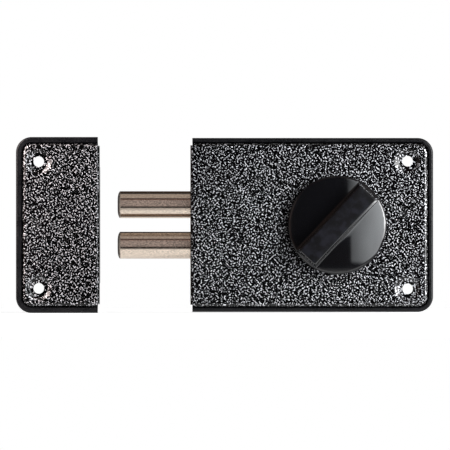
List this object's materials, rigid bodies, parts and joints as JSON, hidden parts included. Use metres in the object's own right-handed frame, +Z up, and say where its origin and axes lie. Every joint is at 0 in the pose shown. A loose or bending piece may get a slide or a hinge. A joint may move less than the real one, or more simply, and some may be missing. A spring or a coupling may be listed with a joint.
{
  "type": "rim box lock",
  "caption": "Surface-mounted box lock: a turn knob drives round bolts on a racked carriage out of a steel case into a matching strike box.",
  "frame": {"origin": "on the knob's axis, in the plane of the lock's back plate where it meets the door", "axes": "+X away from the bolts' ends along the lock case, +Y into the door, +Z up; the knob faces -Y"},
  "size_m": [0.2157, 0.0712, 0.091],
  "materials": {
    "hammered_cover": "silver and black hammered paint",
    "black_surround": "satin black",
    "black_plate": "satin black powder coat",
    "bolt_steel": "turned and nickel plated",
    "carriage_steel": "zinc plated",
    "cast_guide": "die cast",
    "zinc_steel": "zinc plated",
    "plated_screw": "yellow zinc",
    "spring_steel": "tempered",
    "bush_brass": "turned",
    "hub_steel": "machined",
    "knob_black": "gloss black",
    "white_washer": "plain"
  },
  "bodies": {
    "lock_case": {"case_back_plate": "black_plate", "case_surround": "black_surround", "case_cover": "hammered_cover", "cover_pillars": "zinc_steel", "case_screws": "plated_screw", "screw_spacers": "zinc_steel", "bolt_guide": "cast_guide", "guide_screws": "plated_screw", "carriage_posts": "zinc_steel", "post_clips": "spring_steel", "rear_bush": "bush_brass", "cover_bush": "bush_brass", "detent_spring": "spring_steel", "spring_posts": "zinc_steel"},
    "bolt_carriage": {"carriage": "carriage_steel", "bolt_upper": "bolt_steel", "bolt_lower": "bolt_steel", "tail_washers": "zinc_steel", "tail_screws": "plated_screw"},
    "knob_shaft": {"knob": "knob_black", "knob_insert": "bush_brass", "knob_spindle": "zinc_steel", "pinion_hub": "hub_steel", "hub_screw": "plated_screw", "knob_washer": "white_washer"},
    "strike_box": {"strike_back_plate": "black_plate", "strike_surround": "black_surround", "strike_cover": "hammered_cover", "strike_pillars": "zinc_steel", "strike_screws": "plated_screw", "strike_spacers": "zinc_steel", "strike_guard": "cast_guide", "guard_screws": "plated_screw"}
  },
  "joints": [
    {"name": "knob_turn", "type": "hinge", "parent": "lock_case", "child": "knob_shaft", "pos_m": [0, 0, 0], "axis": [0, 1, 0], "range_deg": [0, 360]},
    {"name": "bolt_throw", "type": "slide", "parent": "lock_case", "child": "bolt_carriage", "axis": [1, 0, 0], "range_m": [0, 0.0377], "deforming": ["detent_spring"]},
    {"name": "strike_approach", "type": "slide", "parent": "lock_case", "child": "strike_box", "axis": [1, 0, 0], "range_m": [0, 0.043]}
  ],
  "couplings": [
    {"joint": "knob_turn", "follows": "bolt_throw", "rad_per_m": 166.67}
  ]
}
